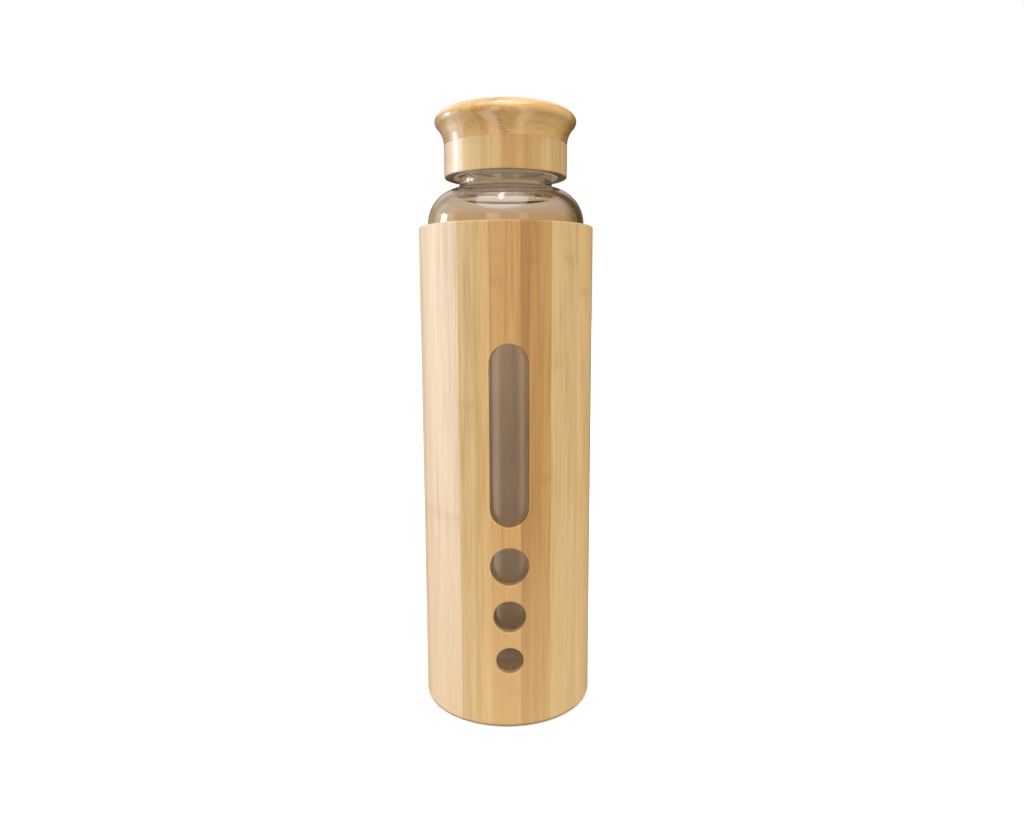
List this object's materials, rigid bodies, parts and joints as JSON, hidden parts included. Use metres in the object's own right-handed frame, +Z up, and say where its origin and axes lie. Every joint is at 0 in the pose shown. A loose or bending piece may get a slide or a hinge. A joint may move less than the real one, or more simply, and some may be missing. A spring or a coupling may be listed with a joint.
{
  "type": "glass water bottle",
  "caption": "Clear glass water bottle in a laminated bamboo sleeve with a window slot and round holes, closed by a flared bamboo screw cap.",
  "frame": {"origin": "centre of the sleeve's bottom face, where the bottle stands", "axes": "+Z up along the bottle's axis, -Y towards the window slot and the round holes, +X to the right when facing the window"},
  "size_m": [0.07, 0.07, 0.2419],
  "materials": {
    "sleeve_bamboo": "satin",
    "base_bamboo": "satin",
    "ring_bamboo": "lacquered",
    "top_bamboo": "lacquered",
    "bottle_glass": "clear",
    "liner_plastic": "satin",
    "seal_silicone": "matte",
    "cushion_silicone": "matte",
    "grip_silicone": "matte"
  },
  "bodies": {
    "sleeve": {"sleeve_tube": "sleeve_bamboo", "sleeve_base": "base_bamboo", "base_cushion": "cushion_silicone", "grip_ring": "grip_silicone"},
    "bottle": {"glass_bottle": "bottle_glass"},
    "seal": {"cap_seal": "seal_silicone"},
    "cap": {"cap_liner": "liner_plastic", "cap_ring": "ring_bamboo", "cap_top": "top_bamboo"}
  },
  "joints": [
    {"name": "bottle_lift", "type": "slide", "parent": "sleeve", "child": "bottle", "axis": [0, 0, 1], "range_m": [0, 0.2]},
    {"name": "cap_rise", "type": "slide", "parent": "bottle", "child": "seal", "axis": [0, 0, 1], "range_m": [0, 0.0161]},
    {"name": "cap_turn", "type": "hinge", "parent": "seal", "child": "cap", "pos_m": [0, 0, 0.2158], "axis": [0, 0, 1], "range_deg": [0, 1440]}
  ],
  "couplings": [
    {"joint": "cap_rise", "follows": "cap_turn", "m_per_rad": 0.00063662}
  ]
}
